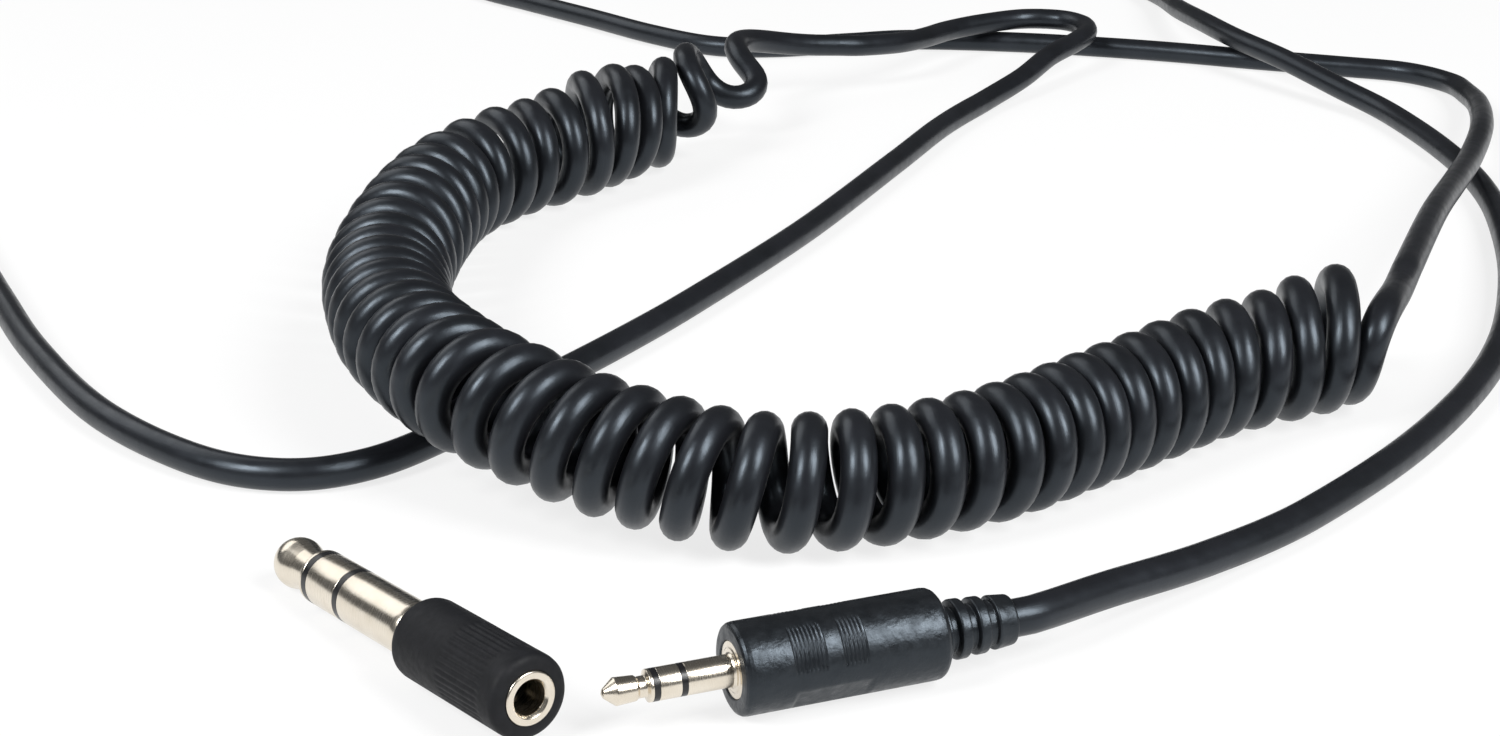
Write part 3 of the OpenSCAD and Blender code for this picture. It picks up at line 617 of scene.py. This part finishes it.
def turned(name, place, outline, body, material, node,
           sides=96, shape=None, longest=3.0):
    """Makes a turned piece, lays it in its place, and lets it stand for its solid."""
    points = refined(rounded(outline), longest)
    points.append(points[0])
    rings = []
    for radius, z in points:
        ring = []
        for k in range(sides):
            angle = 2 * math.pi * k / sides
            r = shape(radius, z, angle) if shape and radius > 0 else radius
            ring.append(place @ (Vector((r * math.cos(angle), r * math.sin(angle), z)) * MM))
        rings.append(ring)
    steps = [0] + [np.linalg.norm(b - a) * MM for a, b in zip(points, points[1:])]
    mesh = grid_mesh(name, rings, False, np.cumsum(steps))
    piece = add_object(name, mesh, body, material)
    normals = piece.modifiers.new("normals", "WEIGHTED_NORMAL")
    normals.keep_sharp = True
    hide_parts(node)
    return piece


def ease(x):
    """0 below 0, 1 above 1, and a smooth step between."""
    x = max(0, min(1, x))
    return x * x * (3 - 2 * x)


def window(value, start, end, soft):
    """1 inside a range, 0 outside, with soft ends."""
    return ease((value - start) / soft) * ease((end - value) / soft)


# %% [markdown]
# ## Small plug
#
# Three contacts with two black rings between them, a flange set into the face of a moulded
# body, and a strain relief of four rings. The body has two groups of fine grip grooves on
# each side, and a flat low on each side.

# %% Contacts of the small plug
plug_pieces = [
    turned("small_plug_tip", PLUG, [
        (0, -9), (0.45, -9), (0.45, 8.9), (1.75, 8.9, 0.08), (1.75, 9.28, 0.1),
        (1.15, 9.5, 0.12), (1.15, 10.3, 0.12), (1.36, 10.6, 0.15),
        (1.5, 12.75, 0.2), (0.5, 14, 0.3), (0, 14.2),
    ], "lead", contact_metal, "plug_tip"),
    turned("small_plug_ring", PLUG, [
        (0.75, -6.2), (1, -6.2), (1, 5.9), (1.75, 5.9, 0.07), (1.75, 8.25, 0.07), (0.75, 8.25),
    ], "lead", contact_metal, "plug_ring"),
    turned("small_plug_sleeve", PLUG, [
        (1.3, -3.6), (2.3, -3.6), (2.3, -1), (3.1, -1), (3.1, -0.12, 0.12),
        (2.5, -0.12, 0.2), (2.3, 0, 0.1), (1.95, 0, 0.12), (1.75, 0.25, 0.12),
        (1.75, 5.25, 0.06), (1.3, 5.25),
    ], "lead", contact_metal, "plug_sleeve"),
]
print([piece.name for piece in plug_pieces])

# %% Body of the small plug
GRIP_GROUPS = [(-9, 8), (-13.6, 6)]
GRIP_PITCH = 0.46
GRIP_DEPTH = 0.17


def plug_body_shape(radius, z, angle):
    """Grip grooves and a flat on each side of the body; +Y is one side and -X is up."""
    if radius < 4.5:
        return radius
    turn = math.degrees(angle)
    side = turn if turn <= 180 else 360 - turn
    grooves = 0
    for start, count in GRIP_GROUPS:
        end = start + count * GRIP_PITCH
        if start < z < end:
            wave = 0.5 - 0.5 * math.cos(2 * math.pi * (z - start) / GRIP_PITCH)
            grooves = wave ** 0.7 * window(side, 97, 163, 8)
    flat_reach = 4.72 / max(0.5, math.cos(math.radians(side - 56)))
    on_flat = window(z, -14.5, -5.3, 0.7) * window(side, 30, 82, 6)
    flat = max(0, radius - flat_reach) * on_flat
    return radius - GRIP_DEPTH * grooves - flat


def relief_outline():
    """The four rings of the strain relief, from the cord's end to the body."""
    points = [(2.12, -32.2), (2.75, -32.2, 0.35)]
    for groove_at, ring_r in ((-29.3, 3.0), (-27, 3.15), (-24.7, 3.3)):
        points += [
            (ring_r, groove_at - 0.55, 0.28), (2.45, groove_at - 0.4, 0.12),
            (2.45, groove_at + 0.4, 0.12), (ring_r + 0.12, groove_at + 0.55, 0.28),
        ]
    return points


plug_body = turned("small_plug_body", PLUG, [
    *relief_outline(),
    (3.4, -23.6, 0.15), (5, -23.3, 1.1), (5, 0, 0.95), (3.12, 0, 0.25),
    (3.12, -1), (3.72, -1), (3.72, -19), (2.12, -19),
], "lead", plug_black, "plug_body",
    sides=160, shape=plug_body_shape, longest=0.09)
print("small plug's body:", len(plug_body.data.polygons), "faces")

# %% [markdown]
# ## Adapter
#
# A large plug with a ball at its end, and a matt body whose rear half has fine ribs. The
# nickel bush of its socket stands in the rear face.

# %% Contacts of the adapter
ball = [(3 * math.cos(a), 28 + 3 * math.sin(a)) for a in np.linspace(-0.32, 1.53, 20)]
turned("large_plug_tip", ADAPTER, [
    (0, -3.2), (0.9, -3.2), (0.9, 22), (3.175, 22, 0.12), (3.175, 22.6, 0.2),
    (2.35, 22.75, 0.2), (2.3, 23.4, 0.3), (2.55, 25.6, 0.8), *ball, (0, 31),
], "adapter", contact_metal, "adapter_tip", sides=128)
turned("large_plug_ring", ADAPTER, [
    (1.2, -2.4), (1.6, -2.4), (1.6, 15), (3.175, 15, 0.1), (3.175, 21, 0.1), (1.2, 21),
], "adapter", contact_metal, "adapter_ring", sides=128)
turned("large_plug_sleeve", ADAPTER, [
    (2.1, -1.6), (3.7, -1.6), (3.7, -0.8), (2.975, -0.8), (2.975, 0.02), (3.175, 0.02),
    (3.175, 14, 0.1), (2.1, 14),
], "adapter", contact_metal, "adapter_sleeve", sides=128)
bush = turned("socket_bush", ADAPTER, [
    (1.85, -14), (2.95, -14), (2.95, -20.2, 0.25), (2.15, -20.2, 0.2), (1.85, -19.8, 0.2),
], "adapter", contact_metal, "adapter_bush")
print("the adapter's contacts and bush are in place")

# %% Body of the adapter
RIB_COUNT = 40
RIB_DEPTH = 0.12


def adapter_body_shape(radius, z, angle):
    """Fine ribs along the rear half of the body."""
    if radius < 4.3:
        return radius
    rib = 0.5 - 0.5 * math.cos(RIB_COUNT * angle)
    return radius - RIB_DEPTH * rib ** 1.5 * window(z, -17.4, -9, 0.8)


adapter_body = turned("adapter_barrel", ADAPTER, [
    (2.97, -20, 0.1), (4.65, -20, 1.15), (4.65, -17.7, 0.1), (4.65, 0, 0.85),
    (2.995, 0, 0.15), (2.995, -0.8), (3.72, -0.8), (3.72, -14), (2.97, -14),
], "adapter", adapter_black, "adapter_body",
    sides=384, shape=adapter_body_shape, longest=0.4)
print("adapter's body:", len(adapter_body.data.polygons), "faces")

# %% [markdown]
# ## Headphone connector
#
# Its shell, latch, insert and contacts keep their shape from the solids. The end cap gets a
# fine straight knurl to grip, and the boot softly rounded rings. This end of the lead is
# outside the camera's view.

# %% Cap and boot of the connector
KNURLS = 48
KNURL_DEPTH = 0.16


def cap_shape(radius, z, angle):
    """A fine straight knurl round the cap's wide part."""
    if radius < 4.9:
        return radius
    knurl = 0.5 - 0.5 * math.cos(KNURLS * angle)
    return radius - KNURL_DEPTH * knurl * window(z, 12.6, 16.4, 0.5)


cap = turned("connector_end_cap", CONNECTOR, [
    (3.72, 8), (4.4, 8, 0.3), (5.5, 12.3, 0.8), (5.5, 17, 0.15), (4.55, 17),
    (4.55, 21), (3.65, 21), (3.65, 9.2), (3.72, 9.2),
], "lead", connector_metal, "connector_cap",
    sides=384, shape=cap_shape, longest=0.5)

BOOT_GROOVES = 4
BOOT_GROOVE_PITCH = 1.7
boot_outline = [(2.12, 0), (2.95, 0, 0.3)]
for ring in range(BOOT_GROOVES):
    groove_at = 1.4 + BOOT_GROOVE_PITCH * ring
    outer = 3 + 0.0875 * groove_at
    boot_outline += [(outer, groove_at - 0.45, 0.2), (outer - 0.45, groove_at - 0.3, 0.12),
                     (outer - 0.45, groove_at + 0.3, 0.12), (outer, groove_at + 0.45, 0.2)]
boot_outline += [(3.7, 8), (3.7, 9.2), (3.45, 9.2), (3.45, 10), (2.12, 10)]
boot = turned("connector_cord_boot", CONNECTOR, boot_outline,
              "lead", boot_black, "connector_boot")
print([piece.name for piece in (cap, boot)])

# %% [markdown]
# A bow spring under the latch holds it up. It is a thin leaf, arched from end to end.

# %% Spring of the latch
BOW_FLOOR, BOW_CROWN = 2.05, 1.17
BOW_T, BOW_HALF_WIDTH = 0.25, 1.2
BOW_MIDDLE, BOW_HALF_LENGTH = 30, 4.5
BOW_FLATNESS = 2.4
BOW_SAMPLES = 33
bow_rings = []
for part in np.linspace(-1, 1, BOW_SAMPLES):
    top = BOW_FLOOR + BOW_T + (BOW_CROWN - BOW_T) * (1 - abs(part) ** BOW_FLATNESS)
    along = BOW_MIDDLE + BOW_HALF_LENGTH * part
    corners = [(top - BOW_T, -BOW_HALF_WIDTH), (top - BOW_T, BOW_HALF_WIDTH),
               (top, BOW_HALF_WIDTH), (top, -BOW_HALF_WIDTH)]
    bow_rings.append([CONNECTOR @ (Vector((-up, across, along)) * MM)
                      for up, across in corners])
bow_mesh = grid_mesh("connector_bow_spring", bow_rings, True,
                     np.linspace(0, 2 * BOW_HALF_LENGTH * MM, len(bow_rings)))
bow_mesh.shade_flat()
bow = add_object("connector_bow_spring", bow_mesh, "lead", spring_metal)
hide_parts("connector_spring")
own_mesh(bow)

# %% [markdown]
# ## The cord's facts
#
# The first stretch leaves the small plug and goes into the curl, and the last one leaves
# the curl and ends in the headphone connector.


print("the cord is made of three stretches")

# %% [markdown]
# ## Floor and light
#
# A plain white table, two soft lamps in front, left and right of the camera and 42 degrees
# up, and a dim room. Each curl of the cord shows both lamps as two soft upright glints. A
# wide weak lamp behind, on the left, brightens the upper side of the adapter's contacts.

# %% Floor
floor_mesh = bpy.data.meshes.new("floor")
builder = bmesh.new()
bmesh.ops.create_grid(builder, x_segments=1, y_segments=1, size=4)
builder.to_mesh(floor_mesh)
builder.free()
floor = bpy.data.objects.new("floor", floor_mesh)
floor.location = (0, 0, -0.0001)
scene.collection.objects.link(floor)
print("floor made")

# %% [markdown]
# The camera and the reflections see the table mostly as plain white, with its shadows
# faintly on it. All other light meets an ordinary pale surface.

# %% Material of the floor
SHARE_OF_PLAIN_WHITE = 0.8
floor_white = new_material("floor_white", (0.86, 0.86, 0.86), 0.9)
floor_mesh.materials.append(floor_white)
tree = floor_white.node_tree
light_path = tree.nodes.new("ShaderNodeLightPath")
seen = tree.nodes.new("ShaderNodeMath")
seen.operation = "MAXIMUM"
tree.links.new(light_path.outputs["Is Camera Ray"], seen.inputs[0])
tree.links.new(light_path.outputs["Is Glossy Ray"], seen.inputs[1])
share = tree.nodes.new("ShaderNodeMath")
share.operation = "MULTIPLY"
share.inputs[1].default_value = SHARE_OF_PLAIN_WHITE
tree.links.new(seen.outputs["Value"], share.inputs[0])
white = tree.nodes.new("ShaderNodeEmission")
white.inputs["Strength"].default_value = 1
mix = tree.nodes.new("ShaderNodeMixShader")
tree.links.new(share.outputs["Value"], mix.inputs["Fac"])
tree.links.new(tree.nodes["Principled BSDF"].outputs["BSDF"], mix.inputs[1])
tree.links.new(white.outputs["Emission"], mix.inputs[2])
tree.links.new(mix.outputs["Shader"], tree.nodes["Material Output"].inputs["Surface"])
print("floor material made")

# %% Light
AIM = Vector((0.01, -0.1, 0.0))
LAMP_DISTANCE = 1.1


def soft_lamp(name, azimuth, elevation, width, height, watts):
    """A rectangular lamp; azimuth is to the right of the viewer, who looks along +Y."""
    a, e = math.radians(azimuth), math.radians(elevation)
    way = Vector((math.sin(a) * math.cos(e), -math.cos(a) * math.cos(e), math.sin(e)))
    data = bpy.data.lights.new(name, "AREA")
    data.shape = "RECTANGLE"
    data.size = width
    data.size_y = height
    data.energy = watts
    lamp = bpy.data.objects.new(name, data)
    lamp.location = AIM + LAMP_DISTANCE * way
    lamp.rotation_euler = way.to_track_quat("Z", "Y").to_euler()
    scene.collection.objects.link(lamp)
    return lamp


soft_lamp("lamp_right", 53, 42, 0.42, 0.62, 12.5)
soft_lamp("lamp_left", -53, 42, 0.34, 0.42, 9.5)
soft_lamp("lamp_behind", -130, 36, 0.8, 0.6, 2.2)

world = bpy.data.worlds.new("room")
world.use_nodes = True
background = world.node_tree.nodes["Background"]
background.inputs["Color"].default_value = (0.95, 0.97, 1.0, 1)
background.inputs["Strength"].default_value = 0.09
scene.world = world
scene.view_settings.view_transform = "Standard"
print("three lamps and a dim room")
